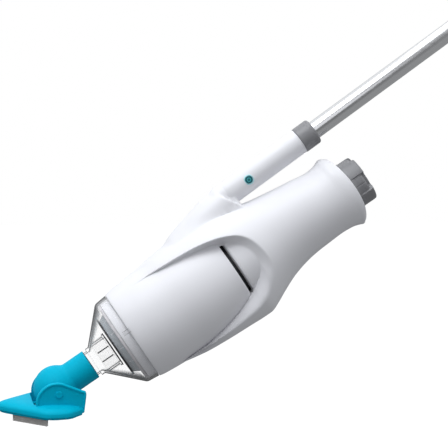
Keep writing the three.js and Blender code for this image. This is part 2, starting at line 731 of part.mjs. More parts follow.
for (const [side, word] of [[-1, "left"], [1, "right"]]) {
  const [a, b] = [10, SOCKET.r + BUTTON.proud].map((y) => side * y);
  piece(polar, "pole_button_" + word,
    rodY(BUTTON.x, 0, Math.min(a, b), Math.max(a, b), BUTTON.r, 20), TEAL);
}

// The origin is the middle of the pole's upper end face.
part.updateMatrixWorld(true);
const origin = polar.localToWorld(new THREE.Vector3(poleEnd + 3, 0, 0));
machine.position.sub(origin);

export default part;
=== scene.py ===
"""Looks of a cordless pool vacuum on a pole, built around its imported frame.

Every shape is made in millimetres in one of the frames of the machine and placed by that frame's matrix:
MACHINE has X along the machine axis towards the dial, POLE has X along the pole, NECK turns with the swivel
neck and HEAD with the brush head. In all of them Y is the right-hand side and Z points away from the floor.
"""

import json
import math
from functools import partial

import bmesh
import bpy
import numpy as np
from mathutils import Matrix, Vector


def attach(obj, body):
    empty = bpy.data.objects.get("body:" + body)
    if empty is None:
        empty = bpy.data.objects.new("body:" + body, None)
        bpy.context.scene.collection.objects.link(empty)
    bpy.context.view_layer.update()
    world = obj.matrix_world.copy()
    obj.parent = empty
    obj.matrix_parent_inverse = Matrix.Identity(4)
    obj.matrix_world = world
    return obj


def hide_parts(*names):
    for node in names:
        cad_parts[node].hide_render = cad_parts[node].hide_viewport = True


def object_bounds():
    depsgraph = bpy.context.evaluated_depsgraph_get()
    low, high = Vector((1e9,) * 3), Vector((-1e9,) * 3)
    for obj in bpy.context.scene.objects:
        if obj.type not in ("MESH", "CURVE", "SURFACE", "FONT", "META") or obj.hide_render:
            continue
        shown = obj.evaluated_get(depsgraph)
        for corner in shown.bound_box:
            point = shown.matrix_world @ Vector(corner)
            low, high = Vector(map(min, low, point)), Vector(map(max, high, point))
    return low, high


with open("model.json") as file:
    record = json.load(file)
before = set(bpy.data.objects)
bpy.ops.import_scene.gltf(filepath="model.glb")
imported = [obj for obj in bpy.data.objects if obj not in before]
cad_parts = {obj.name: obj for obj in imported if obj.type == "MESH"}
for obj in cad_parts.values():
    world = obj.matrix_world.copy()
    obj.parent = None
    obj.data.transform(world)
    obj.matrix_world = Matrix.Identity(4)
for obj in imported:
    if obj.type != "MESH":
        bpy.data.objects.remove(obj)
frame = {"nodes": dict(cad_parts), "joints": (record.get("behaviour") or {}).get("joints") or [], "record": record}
cad_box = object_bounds()

# ---- frames ----
MM = 0.001
JOINTS = {joint["name"]: joint for joint in frame["joints"]}
MOUNTS = {mount["name"]: mount for mount in frame["record"]["mounts"]}


def frame_matrix(origin, x_axis, y_axis):
    """The matrix from millimetres in a local frame to metres in the part's frame."""
    x = Vector(x_axis).normalized()
    y = Vector(y_axis).normalized()
    turned = Matrix((x, y, x.cross(y))).transposed().to_4x4()
    turned.translation = Vector(origin)
    return turned @ Matrix.Scale(MM, 4)


SWIVEL, TILT = JOINTS["neck_swivel"], JOINTS["head_tilt"]
MACHINE = frame_matrix(SWIVEL["pos_m"], SWIVEL["axis"], (0, 1, 0))
NECK = frame_matrix(SWIVEL["pos_m"], SWIVEL["axis"], TILT["axis"])
BODY_TILT = math.asin(Vector(SWIVEL["axis"]).normalized().z)
HUB_X = -(Vector(TILT["pos_m"]) - Vector(SWIVEL["pos_m"])).length / MM
HEAD = NECK @ Matrix.Translation((HUB_X, 0, 0)) @ Matrix.Rotation(BODY_TILT, 4, "Y")
POLE_AXIS = Vector(MOUNTS["pole_end"]["axis"]).normalized()
POLE_LENGTH = 470  # from the front end of the socket to the upper end of the pole
POLE = frame_matrix(Vector(MOUNTS["pole_end"]["pos_m"]) - POLE_AXIS * POLE_LENGTH * MM, POLE_AXIS, (0, 1, 0))

# ---- driving dimensions, in millimetres ----
# Housing outline: x, top, bottom, half width
HOUSING = [
    (112, 77.6, -77.6, 77.6),
    (130, 79.7, -81.2, 80.0),
    (150, 82, -84.6, 82.5),
    (190, 86, -87.4, 84.5),
    (230, 88, -89.2, 85),
    (258, 87.5, -90.4, 84),
    (270, 86, -90, 82),
    (284, 82.5, -84.5, 78),
    (304, 76, -75, 71),
    (328, 69.5, -65, 63.5),
    (360, 64, -57, 57.5),
    (400, 58.5, -53.5, 54),
    (434, 54.6, -53, 52.5),
    (446, 56.5, -54.6, 52.8),
    (456, 60, -57.6, 53.2),
    (462, 57.6, -59.4, 53),
    (467, 53.6, -55, 52.6),
]
HOUSING_X0, REAR_RIM_X0 = 112, 434  # front edge of the shell, and where its rear rim begins
HOUSING_WALL, HOUSING_COLUMNS = 1.8, 172
SEAM_GROOVE, SEAM_GAP = 0.45, 0.12
REAR_X, REAR_BOW, REAR_ROUND = 467, 6, 1.6
# Hump over the socket: x, top, middle height, half width
HUMP = [
    (165, 76, 52, 20),
    (185, 85, 60, 27),
    (200, 91.5, 66, 30),
    (240, 103, 74, 32),
    (275, 110.5, 80, 30),
    (300, 112.6, 84, 27),
    (330, 114, 86, 25),
]
HUMP_BACK = ((302.6, 98), (317.8, 70))  # the line that the back of the hump falls along: (x, z) twice
# Debris barrel: x, radius
BARREL = [
    (73.4, 73.4), (80, 74.6), (92, 75.9), (110, 77.3), (130, 77.7),
    (150, 77.5), (190, 76.2), (225, 71), (254, 64),
]
BARREL_WALL, BARREL_GAP = 2.5, 0.12
CHAMBER_X0, SHOULDER_X, CHAMBER_X1, CHAMBER_MOUTH_R = 59.2, 73.4, 254, 66.8
SLOT_END = CHAMBER_X1 + 6.8  # the outlet slot runs from the end of the barrel to here
SLOT_FLOOR_R, SCOOP_R = 46, 61.5  # the floor inside the slot, and behind it
# Side recess, in x and z: the rim on the housing and the foot of the wall, both from the upper tip backwards
RIM = [
    (96, 66.3), (122, 66.7), (146, 67.3), (175, 66.6), (206, 65), (230, 62.2), (252, 57.5), (269, 51.5),
    (284, 43.5), (295, 32), (302, 16), (305.3, -4), (304.6, -22), (298, -38), (286, -52), (268, -63.5),
    (244, -70.3), (212, -72.8), (180, -73.2), (150, -72.8), (96, -72.4),
]
FOOT = [
    (96, 65.9), (122, 65.4), (146, 63.4), (165, 61.4), (184, 58.4), (202, 55.2), (222, 51.6), (242, 46.6),
    (258, 40), (272, 33.6), (282, 25), (288.6, 12), (290, -5), (286, -19), (277, -30), (266, -37.6),
    (257, -42), (244, -49), (224, -57.3), (195, -64.7), (174, -68.7), (154, -71.6), (96, -72.2),
]
NECK_R, SPIGOT_R, SPIGOT_BORE = 23.5, 20, 17.6
HUB_R, HUB_WALL, HUB_CUT = 34.2, 3.6, -24
SOLE, CHEEK = -33, 37
CHEEK_FOOT = SOLE + 5
NECK_END = -2.4
BRISTLE, BRISTLE_FROM, BRISTLE_TO = 10, (-66, 17.6), (-18, 57.2)
BRISTLE_ROWS, BRISTLE_ROW_GAP, BRISTLE_STEP, BRISTLE_SIDES = 9, 0.47, 0.62, 5
# Wall of the filter basket: x, radius
BASKET = [
    (44.4, 46), (54, 51.5), (62, 55.4), (72, 58), (90, 58.8),
    (115, 58.9), (150, 56), (180, 52.8), (205.5, 50),
]
BASKET_WIRES, WIRE_HALF_WIDTH, CLOTH_SAG = 12, 0.7, 1.1
SOCKET_R, SOCKET_BORE, SOCKET_LENGTH, SOCKET_TIP = 19.5, 14.5, 148, 17.4
SOCKET_FRONT = MACHINE.inverted() @ POLE.translation
SOCKET_X, SOCKET_Z = SOCKET_FRONT.x, SOCKET_FRONT.z
SOCKET_RISE = (MACHINE.inverted() @ (POLE @ Vector((100, 0, 0))) - SOCKET_FRONT).z / 100
COLLAR_R, COLLAR_LENGTH = 20.5, 27
POLE_R, POLE_WALL, POLE_START = 14, 1.3, 5
BUTTON_X, BUTTON_R, BUTTON_TOP = 49.5, 5.8, 20.7
DIAL_X0, DIAL_X1, DIAL_R, DIAL_TURN = 471.5, 499.5, 38.3, 5.5  # the turn is in degrees
DIAL_FACE_DIP, DIAL_SIDE_DIP, DIAL_GROOVE = 5, 1.9, 0.8


# ---- mesh helpers ----
def interpolate(rows, x):
    """Columns of a table at the places x, along a smooth curve through its rows."""
    table = np.array(rows, float)
    xs, ys = table[:, 0], table[:, 1:]
    slopes = np.gradient(ys, xs, axis=0)
    x = np.clip(x, xs[0], xs[-1])
    i = np.clip(np.searchsorted(xs, x) - 1, 0, len(xs) - 2)
    h = (xs[i + 1] - xs[i])[:, None]
    t = ((x - xs[i]) / h[:, 0])[:, None]
    a, b = ys[i], ys[i + 1]
    return (
        (2 * t**3 - 3 * t**2 + 1) * a
        + (t**3 - 2 * t**2 + t) * h * slopes[i]
        + (3 * t**2 - 2 * t**3) * b
        + (t**3 - t**2) * h * slopes[i + 1]
    )


def curve(points, count):
    """A smooth open run of points through a few given ones (Catmull-Rom)."""
    p = np.array(points, float)
    spans = len(p) - 1
    out = []
    for k in range(count):
        u = k * spans / (count - 1)
        i = min(int(u), spans - 1)
        t = u - i
        b, c = p[i], p[i + 1]
        a = p[i - 1] if i > 0 else 2 * b - c
        d = p[i + 2] if i + 2 <= spans else 2 * c - b
        bend = (2 * a - 5 * b + 4 * c - d) * t**2
        twist = (3 * b - a - 3 * c + d) * t**3
        out.append(0.5 * (2 * b + (c - a) * t + bend + twist))
    return np.array(out)


def smoothstep(low, high, x):
    """0 up to low, 1 from high on, with a soft change between them."""
    t = np.clip((np.asarray(x, float) - low) / (high - low), 0, 1)
    return t * t * (3 - 2 * t)


def smooth_max(a, b, k):
    """The larger of a and b, blended where they are within k of each other."""
    h = np.clip(0.5 + 0.5 * (a - b) / k, 0, 1)
    return b + (a - b) * h + k * h * (1 - h)


def smooth_min(a, b, k):
    return -smooth_max(-a, -b, k)


def chord(radius, z, least=0):
    """Half the width of a circle at the height z, its square held at or above a least value."""
    return np.sqrt(np.maximum(radius**2 - z**2, least))


def rounded(corners, closed=True, steps=4):
    """A profile of (x, r) or (x, r, radius) corners, with each radius turned into an arc."""
    out = []
    count = len(corners)
    for i, corner in enumerate(corners):
        p = np.array(corner[:2], float)
        radius = corner[2] if len(corner) > 2 else 0
        if not radius or (not closed and i in (0, count - 1)):
            out.append(p)
            continue
        a = np.array(corners[i - 1][:2], float) - p
        b = np.array(corners[(i + 1) % count][:2], float) - p
        reach = min(radius, 0.49 * np.linalg.norm(a), 0.49 * np.linalg.norm(b))
        a, b = p + a / np.linalg.norm(a) * reach, p + b / np.linalg.norm(b) * reach
        for t in np.linspace(0, 1, steps + 1):
            out.append((1 - t) ** 2 * a + 2 * t * (1 - t) * p + t * t * b)
    return np.array(out)


def grid_faces(rows, columns, wrap_rows=False, wrap_columns=False):
    """Quads between neighbouring points of a grid, stored row by row."""
    faces = []
    for i in range(rows if wrap_rows else rows - 1):
        for j in range(columns if wrap_columns else columns - 1):
            i2, j2 = (i + 1) % rows, (j + 1) % columns
            faces.append((i * columns + j, i * columns + j2, i2 * columns + j2, i2 * columns + j))
    return faces


def revolve(profile, segments=96, axis="X"):
    """A profile of (x, r) turned about X, or about Y. It closes on itself, or starts and ends on the axis."""
    profile = np.array([p[:2] for p in profile], float)
    angles = np.linspace(0, 2 * np.pi, segments, endpoint=False)
    x = np.repeat(profile[:, 0], segments)
    a = (profile[:, 1][:, None] * np.cos(angles)).ravel()
    b = (profile[:, 1][:, None] * np.sin(angles)).ravel()
    verts = np.column_stack((x, a, b) if axis == "X" else (a, x, b))
    return verts, grid_faces(len(profile), segments, profile[0, 1] > 0, True)


def loft(rings):
    """Quads through closed rings with equal point counts, and a cap at each end."""
    rings = [np.array(r, float) for r in rings]
    count = len(rings[0])
    last = (len(rings) - 1) * count
    faces = grid_faces(len(rings), count, False, True)
    faces.append(tuple(range(count)))
    faces.append(tuple(last + k for k in range(count)))
    return np.vstack(rings), faces


def prism(outline, z0, z1):
    """A plane outline run straight up from z0 to z1."""
    flat = np.array(outline, float)
    return loft([np.column_stack((flat, np.full(len(flat), z))) for z in (z0, z1)])


def inset_outline(outline, amount):
    """A closed plane outline moved inwards along its normals."""
    p = np.array(outline, float)
    along = np.roll(p, -1, 0) - np.roll(p, 1, 0)
    along /= np.linalg.norm(along, axis=1)[:, None]
    normal = np.column_stack((-along[:, 1], along[:, 0]))
    area = np.sum(p[:, 0] * np.roll(p[:, 1], -1) - np.roll(p[:, 0], -1) * p[:, 1])
    return p + normal * amount * (1 if area > 0 else -1)


def joined(*parts):
    """Several (verts, faces) as one."""
    verts, faces, start = [], [], 0
    for v, f in parts:
        verts.append(np.array(v, float))
        faces += [tuple(i + start for i in face) for face in f]
        start += len(v)
    return np.vstack(verts), faces


def moved(shape, offset=(0, 0, 0), turn=0, about="X"):
    """A shape turned about an axis by degrees, then moved."""
    rotation = np.array(Matrix.Rotation(math.radians(turn), 3, about))
    return np.array(shape[0], float) @ rotation.T + np.array(offset, float), shape[1]


def mirrored(shape, side):
    """The shape itself for side 1, and its mirror image in the XZ plane for side -1."""
    return np.array(shape[0], float) * (1, side, 1), shape[1]


def mesh_of(name, shape):
    """A mesh without doubled points, all its faces turned outwards."""
    mesh = bpy.data.meshes.new(name)
    mesh.from_pydata([tuple(v) for v in shape[0]], [], shape[1])
    made = bmesh.new()
    made.from_mesh(mesh)
    bmesh.ops.remove_doubles(made, verts=made.verts, dist=1e-4)
    bmesh.ops.recalc_face_normals(made, faces=made.faces)
    made.to_mesh(mesh)
    made.free()
    return mesh


def apply_modifiers(obj):
    """Turns the modifiers of obj into plain mesh."""
    bpy.context.view_layer.update()
    graph = bpy.context.evaluated_depsgraph_get()
    mesh = bpy.data.meshes.new_from_object(obj.evaluated_get(graph))
    obj.modifiers.clear()
    obj.data = mesh


def cut_out(obj, shape):
    """Cuts a shape out of obj while both are still in the local frame."""
    other = bpy.data.objects.new("tool", mesh_of("tool", shape))
    bpy.context.scene.collection.objects.link(other)
    modifier = obj.modifiers.new("boolean", "BOOLEAN")
    modifier.operation = "DIFFERENCE"
    modifier.solver = "EXACT"
    modifier.object = other
    apply_modifiers(obj)
    bpy.data.objects.remove(other)


def raw(name, shape):
    """A new object whose mesh is still in the local frame, in millimetres."""
    obj = bpy.data.objects.new(name, mesh_of(name, shape))
    bpy.context.scene.collection.objects.link(obj)
    return obj


def settle(obj, place, body, look, replaces=(), sharp=32):
    """Places a local object in the part's frame, finishes its shading and gives it to a body."""
    obj.data.transform(place)
    obj.data.shade_smooth()
    obj.data.set_sharp_from_angle(angle=math.radians(sharp))
    obj.data.materials.clear()
    obj.data.materials.append(look)
    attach(obj, body)
    if replaces:
        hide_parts(*replaces)
    return obj


def piece(name, shape, place, body, look, replaces=(), sharp=32):
    """A finished piece from a shape that needs no cutting."""
    return settle(raw(name, shape), place, body, look, replaces, sharp)


# ---- materials ----
def add_node(tree, kind, inputs=(), **settings):
    """A new node whose inputs are linked to sockets or set to values."""
    node = tree.nodes.new(kind)
    for name, value in settings.items():
        setattr(node, name, value)
    for name, value in dict(inputs).items():
        if isinstance(value, bpy.types.NodeSocket):
            tree.links.new(value, node.inputs[name])
        else:
            node.inputs[name].default_value = value
    return node


class Nodes:
    """A small helper around a material's node tree."""

    def __init__(self, name):
        self.material = bpy.data.materials.new(name)
        self.material.use_nodes = True
        self.tree = self.material.node_tree
        self.shader = self.tree.nodes["Principled BSDF"]
        self.add = partial(add_node, self.tree)
        self.coords = self.add("ShaderNodeTexCoord").outputs["Object"]

    def set(self, **values):
        """Constants on the shader's own sockets."""
        for name, value in values.items():
            self.shader.inputs[name.replace("_", " ")].default_value = value

    def along_machine(self, scale):
        """Coordinates turned to the machine axis and scaled."""
        inputs = {"Vector": self.coords, "Rotation": (0, BODY_TILT, 0), "Scale": scale}
        return self.add("ShaderNodeMapping", inputs).outputs["Vector"]

    def noise(self, scale, detail=3, stretch=None):
        """Noise in the part's frame, in waves per metre, stretched along the machine axis where asked."""
        source = self.along_machine(stretch) if stretch else self.coords
        inputs = {"Vector": source, "Scale": scale, "Detail": detail}
        return self.add("ShaderNodeTexNoise", inputs).outputs["Fac"]

    def ramp(self, source, low, high, from_low=0.3, from_high=0.7):
        """A value that runs from low to high while the source runs between its own two values."""
        return self.add(
            "ShaderNodeMapRange",
            {"Value": source, "From Min": from_low, "From Max": from_high, "To Min": low, "To Max": high},
        ).outputs["Result"]

    def mix(self, factor, first, second):
        """Two colours mixed by a factor; either may be a socket."""
        node = self.add("ShaderNodeMix", data_type="RGBA")
        self.tree.links.new(factor, node.inputs["Factor"])
        for socket, value in ((node.inputs[6], first), (node.inputs[7], second)):
            if isinstance(value, bpy.types.NodeSocket):
                self.tree.links.new(value, socket)
            else:
                socket.default_value = value
        return node.outputs[2]

    def link(self, source, name):
        self.tree.links.new(source, self.shader.inputs[name])

    def bump(self, height, distance_mm, strength=1.0):
        inputs = {"Height": height, "Strength": strength, "Distance": distance_mm * MM}
        self.link(self.add("ShaderNodeBump", inputs).outputs["Normal"], "Normal")


def plastic(name, colour, roughness, mottle=0.03, grain=0.02, coat=0.0, specular=0.5):
    """Moulded plastic: a faint flow mottle in the colour, polish that varies, and a fine moulded grain."""
    nodes = Nodes(name)
    dark = tuple(c * (1 - mottle) for c in colour) + (1,)
    light = tuple(min(1, c * (1 + mottle)) for c in colour) + (1,)
    nodes.link(nodes.mix(nodes.noise(28, 4), dark, light), "Base Color")
    nodes.link(nodes.ramp(nodes.noise(22, 3), roughness * 0.88, roughness * 1.14), "Roughness")
    nodes.bump(nodes.noise(1400, 2), grain)
    nodes.set(Coat_Weight=coat, Coat_Roughness=0.12, Specular_IOR_Level=specular)
    return nodes.material


def clear_plastic(name):
    """Polished clear plastic: see-through where seen square on, with painted shade along its turning edges that
    stands in for the darkness refraction gives there.
    """
    nodes = Nodes(name)
    edge = nodes.add("ShaderNodeLayerWeight", {"Blend": 0.5}).outputs["Facing"]
    painted_edge_shade = nodes.ramp(edge, 0.0, 1.0, 0.54, 0.80)
    tint = nodes.mix(nodes.noise(40, 2), (0.90, 0.91, 0.92, 1), (0.97, 0.97, 0.98, 1))
    # painted shade: the colour runs to near black where the surface turns edge-on to the view
    nodes.link(nodes.mix(painted_edge_shade, tint, (0.02, 0.02, 0.022, 1)), "Base Color")
    nodes.link(nodes.ramp(painted_edge_shade, 0.03, 0.96, 0.0, 1.0), "Alpha")
    nodes.link(nodes.ramp(nodes.noise(60, 3), 0.04, 0.10), "Roughness")
    nodes.bump(nodes.noise(120, 2), 0.04)
    nodes.set(Specular_IOR_Level=0.12)
    return nodes.material


def drawn_metal(name, colour, roughness, lines=0.015, stretch=(0.02, 1, 1)):
    """Metal with fine drawing lines along its length."""
    nodes = Nodes(name)
    dark = tuple(c * 0.9 for c in colour) + (1,)
    nodes.link(nodes.mix(nodes.noise(900, 3, stretch), dark, colour + (1,)), "Base Color")
    nodes.link(nodes.ramp(nodes.noise(700, 3, stretch), roughness * 0.75, roughness * 1.3), "Roughness")
    nodes.bump(nodes.noise(1500, 2, stretch), lines)
    nodes.set(Metallic=1.0)
    return nodes.material


def rubber(name, colour):
    """Matt rubber with a fine rough skin."""
    nodes = Nodes(name)
    dark = tuple(c * 0.8 for c in colour) + (1,)
    nodes.link(nodes.mix(nodes.noise(150, 4), dark, colour + (1,)), "Base Color")
    nodes.link(nodes.ramp(nodes.noise(300, 3), 0.6, 0.85), "Roughness")
    nodes.bump(nodes.noise(1800, 3), 0.05)
    return nodes.material


def mesh_cloth(name, weave_scale=144.76):
    """Fine woven nylon: crossed threads in the bump and the colour, and a faint painted glow that stands in for
    light coming through it.
    """
    nodes = Nodes(name)
    inputs = {"Vector": nodes.along_machine((1, 1, 1)), "Scale": weave_scale, "Distortion": 0.4, "Detail": 1}
    waves = [
        nodes.add("ShaderNodeTexWave", inputs, bands_direction=direction).outputs["Fac"]
        for direction in ("X", "Z")
    ]
    weave = nodes.add("ShaderNodeMath", {0: waves[0], 1: waves[1]}, operation="MAXIMUM").outputs[0]
    nodes.link(nodes.mix(weave, (0.36, 0.40, 0.43, 1), (0.58, 0.62, 0.65, 1)), "Base Color")
    nodes.link(nodes.ramp(nodes.noise(200, 3), 0.7, 0.9), "Roughness")
    nodes.bump(weave, 0.12)
    # painted light: the faint emission makes the cloth glow as if lit through
    nodes.set(Sheen_Weight=0.3, Emission_Color=(0.95, 0.97, 1, 1), Emission_Strength=0.03)
    return nodes.material


WHITE = plastic("white_moulded", (0.80, 0.80, 0.83), 0.40, mottle=0.006, specular=0.35)
PEARL = plastic("pearl_moulded", (0.78, 0.80, 0.835), 0.42, mottle=0.006, specular=0.35)
TEAL = plastic("teal_moulded", (0.0, 0.43, 0.62), 0.5, mottle=0.04, specular=0.05)
GREY = plastic("grey_moulded", (0.225, 0.225, 0.235), 0.45, mottle=0.06, grain=0.04)
DARK = plastic("dark_moulded", (0.012, 0.012, 0.015), 0.5, mottle=0.1, grain=0.05)
BUTTON = plastic("button_teal", (0.0, 0.13, 0.16), 0.3, mottle=0.04)
BUTTON_MARK = plastic("button_mark", (0.06, 0.42, 0.44), 0.35, mottle=0.03)
HALO = plastic("button_bezel", (0.45, 0.83, 0.87), 0.3, mottle=0.02)
CLEAR = clear_plastic("clear_polished")
ALUMINIUM = drawn_metal("aluminium_drawn", (0.86, 0.86, 0.87), 0.2, lines=0.004)
STEEL = drawn_metal("steel_turned", (0.56, 0.56, 0.57), 0.28)
RUBBER = rubber("rubber_seal", (0.66, 0.64, 0.66))
BRISTLES = plastic("nylon_bristle", (0.62, 0.60, 0.585), 0.5, mottle=0.10, grain=0.01)
CLOTH = mesh_cloth("filter_cloth")
CELL = plastic("cell_sleeve", (0.03, 0.13, 0.10), 0.32, mottle=0.06, coat=0.3)
BOARD = plastic("circuit_board", (0.01, 0.09, 0.03), 0.45, mottle=0.25, grain=0.08)


# ---- housing ----
def outline_gaps(x, z, outline):
    """Distance from points to a closed outline, and whether they lie inside it."""
    points = np.column_stack((x, z))
    far = np.full(len(points), 1e9)
    inside = np.zeros(len(points), bool)
    for start, end in zip(outline, np.roll(outline, -1, 0)):
        edge = end - start
        t = np.clip(((points - start) @ edge) / max(edge @ edge, 1e-9), 0, 1)
        far = np.minimum(far, np.linalg.norm(points - start - t[:, None] * edge, axis=1))
        crosses = (start[1] > points[:, 1]) != (end[1] > points[:, 1])
        rise = edge[1] if edge[1] != 0 else 1e-9
        inside ^= crosses & (points[:, 0] < start[0] + (points[:, 1] - start[1]) / rise * edge[0])
    return far, inside


def barrel_radius(x):
    """Radius of the debris barrel at the places x."""
    return interpolate(BARREL, x)[:, 0]


def half_ellipse_reach(top, middle, half, sine, cosine):
    """Distance from the machine axis to the far side of an ellipse in the section, along a ray."""
    height = top - middle
    a = (sine / half) ** 2 + (cosine / height) ** 2
    b = cosine * middle / height**2
    gap = b * b - a * ((middle / height) ** 2 - 1)
    return b / a + np.sign(gap) * np.sqrt(np.abs(gap)) / a


def sleeve_reach(x, sine, cosine):
    """Reach of the sleeve that carries the hump's top on until it is flush with the socket tube."""
    sleeve_from = SOCKET_X - 34
    axis_z = SOCKET_Z + (x - SOCKET_X) * SOCKET_RISE
    radius = SOCKET_R + 0.7 - 1.5 * smoothstep(SOCKET_X - 6, SOCKET_X + 18, x)
    reach = half_ellipse_reach(axis_z + radius, axis_z, radius, sine, cosine)
    reach -= 14 * (1 - smoothstep(sleeve_from, SOCKET_X, x))
    return np.where((x > sleeve_from) & (x < SOCKET_X + 20) & (reach > 60), reach, 0)


def hump_reach(x, sine, cosine):
    """How far the hump over the socket reaches from the machine axis."""
    least_cosine = 0.3  # rays nearer to the side than this miss the hump
    top, middle, half = interpolate(HUMP, x).T
    reach = half_ellipse_reach(top, middle, half, sine, cosine)
    (x0, z0), (x1, z1) = HUMP_BACK
    back = z0 + (x - x0) * (z1 - z0) / (x1 - x0)
    reach = smooth_min(reach, back / np.maximum(cosine, least_cosine), 4)
    reach = smooth_max(reach, sleeve_reach(x, sine, cosine), 3)
    reach -= 16 * (1 - smoothstep(HUMP[0][0] - 10, HUMP[2][0] + 5, x))
    return np.where(cosine > least_cosine, reach, 0)


def housing_stations():
    """Places along the machine axis at which the shell has a row of points."""
    return np.concatenate((
        np.linspace(HOUSING_X0, CHAMBER_X1, 100),
        np.linspace(CHAMBER_X1, SLOT_END, 5)[1:],
        np.linspace(SLOT_END, REAR_RIM_X0, 112)[1:],
        np.linspace(REAR_RIM_X0, REAR_X - REAR_ROUND, 26)[1:],
    ))


def outer_wall(x, angle):
    """y and z of the shell before the side recess is sunk, with the hump swelling its top."""
    top, bottom, half = interpolate(HOUSING, x).T
    y = np.cos(angle) * half
    z = (top + bottom) / 2 + np.sin(angle) * (top - bottom) / 2
    reach = np.hypot(y, z)
    swell = smooth_max(reach, hump_reach(x, y / reach, z / reach), 9) / reach
    return y * swell, z * swell


def recess_tip(x, z):
    """How far the recess's wall stands up: not at all at its two front tips, fully further back."""
    return np.where(z > 0, smoothstep(HOUSING_X0, 170, x), smoothstep(138, 200, x))


def recess_height(x, z, to_rim, in_rim, to_foot, in_foot):
    """0 on the floor of the recess, 1 on the housing's own surface."""
    along = np.where(in_foot, 0, np.where(in_rim, to_foot / (to_foot + to_rim + 1e-6), 1))
    power = 1.15 + 0.35 * smoothstep(-30, 20, z)
    profile = smooth_min(1.04 * along**power, np.ones_like(along), 0.10)
    tip = recess_tip(x, z)
    outside = smoothstep(0, 26, np.where(in_rim, 0, to_rim))
    return np.where(in_rim, profile * tip, tip + (1 - tip) * outside)


def recess_floor(x, z, foot, to_rim, in_rim, in_foot):
    """y of the floor of the recess: the barrel in front, the slot's floor, and the scoop behind it."""
    least = 300  # keeps the square of a half width away from zero
    radius = barrel_radius(x)
    behind = x > SLOT_END - 0.01
    in_slot = (x > CHAMBER_X1 + 0.01) & ~behind
    # below the barrel the floor stays level with the foot of the wall
    lower = foot[np.argmax(foot[:, 0]):][::-1]
    level = np.where(in_foot, z, smooth_max(z, np.interp(x, lower[:, 0], lower[:, 1]), 14))
    lip = 1.6 * np.clip(1 - (x - SLOT_END) / 3, 0, 1) ** 2
    scoop = chord(SCOOP_R - lip, level, least)
    tip = recess_tip(x, z)
    from_rim = np.where(z > 0, to_rim, to_rim * (1 - tip) + 0.8 * tip)
    sunk = chord(radius + BARREL_GAP - 2.6 * smoothstep(0, 5, from_rim), level)
    bridge = sunk + (scoop - sunk) * smoothstep(CHAMBER_X1 - 22, CHAMBER_X1 + 34, x)
    floor = np.where(in_rim, np.where(in_foot & behind, scoop, bridge), chord(radius + BARREL_GAP, z))
    return np.where(in_slot & in_foot, chord(SLOT_FLOOR_R, z, least), floor)


def sink_recess(x, y, z):
    """y with the side recess sunk into it, and which points lie in the opening over the barrel."""
    rim = curve(RIM, 160)
    foot = curve(FOOT, 160)
    to_rim, in_rim = outline_gaps(x, z, rim)
    to_foot, in_foot = outline_gaps(x, z, foot)
    height = recess_height(x, z, to_rim, in_rim, to_foot, in_foot)
    floor = np.minimum(recess_floor(x, z, foot, to_rim, in_rim, in_foot), y)
    return floor + (y - floor) * height, in_foot & (x <= SLOT_END - 0.01)


def rear_rim(ring):
    """Rings that turn over the shell's rear edge and run a little way down its inside."""
    top, bottom, _ = interpolate(HOUSING, np.array([REAR_X - REAR_ROUND]))[0]
    inward = np.array([0, 0, (top + bottom) / 2]) - ring * (0, 1, 1)
    inward /= np.linalg.norm(inward, axis=1)[:, None]
    turns = np.linspace(0.3, np.pi / 2, 5)
    steps = [(REAR_ROUND * math.sin(t), REAR_ROUND * (1 - math.cos(t))) for t in turns]
    steps += [(REAR_ROUND, 2.4), (-1.0, 3.2), (-7, 3.6)]
    return [ring + inward * depth + np.array([dx, 0, 0]) for dx, depth in steps]


def housing_half(side):
    """One half shell of the housing: side -1 is left, 1 is right."""
    stations = housing_stations()
    x = np.repeat(stations, HOUSING_COLUMNS)
    angle = np.tile(np.linspace(-np.pi / 2, np.pi / 2, HOUSING_COLUMNS), len(stations))
    y, z = outer_wall(x, angle)
    y, cut = sink_recess(x, y, z)
    # the rear rim bows backwards at the sides
    to_rear = smoothstep(REAR_X - 30, REAR_X, x)
    bowed = x + to_rear * (REAR_BOW * np.cos(angle) ** 2 - 2 * smoothstep(-30, -56, z))
    wall = np.column_stack((bowed, side * y, z))
    verts = np.vstack((wall, *rear_rim(wall[-HOUSING_COLUMNS:])))
    cut = np.append(cut, np.zeros(len(verts) - len(cut), bool))
    faces = [
        face for face in grid_faces(len(verts) // HOUSING_COLUMNS, HOUSING_COLUMNS)
        if not all(cut[k] for k in face)
    ]
    # the halves meet in a fine groove
    seam = np.zeros(len(verts), bool)
    seam[::HOUSING_COLUMNS] = True
    seam[HOUSING_COLUMNS - 1::HOUSING_COLUMNS] = True
    verts[seam, 2] -= np.sign(verts[seam, 2]) * SEAM_GROOVE
    verts[seam, 1] = side * SEAM_GAP
    word = "left" if side < 0 else "right"
    obj = raw("housing_shell_" + word, (verts, faces))
    solidify = obj.modifiers.new("wall", "SOLIDIFY")
    solidify.thickness = HOUSING_WALL
    solidify.offset = -1
    solidify.use_rim = True
    apply_modifiers(obj)
    settle(obj, MACHINE, "housing", WHITE, ["housing_" + word], sharp=50)


def debris_chamber():
    """The barrel that shows in the side recesses, with a narrower mouth in front for the nose."""
    mouth_r, bore_r = CHAMBER_MOUTH_R, CHAMBER_MOUTH_R - BARREL_WALL
    fine = np.linspace(78, CHAMBER_X1 - 1.2, 60)
    corners = [
        (CHAMBER_X0, mouth_r, 0.6), (SHOULDER_X, mouth_r, 0.6), (SHOULDER_X, 73.2, 1.6),
        *zip(fine, barrel_radius(fine)),
        (CHAMBER_X1, 63.6, 0.9), (CHAMBER_X1, 61.6, 0.5),
        *((x, r - BARREL_WALL) for x, r in BARREL[-2:0:-1]),
        (SHOULDER_X + 3, bore_r), (CHAMBER_X0, bore_r),
    ]
    shape = revolve(rounded(corners), 160)
    piece("chamber_barrel", shape, MACHINE, "housing", WHITE, ["debris_chamber"], sharp=40)


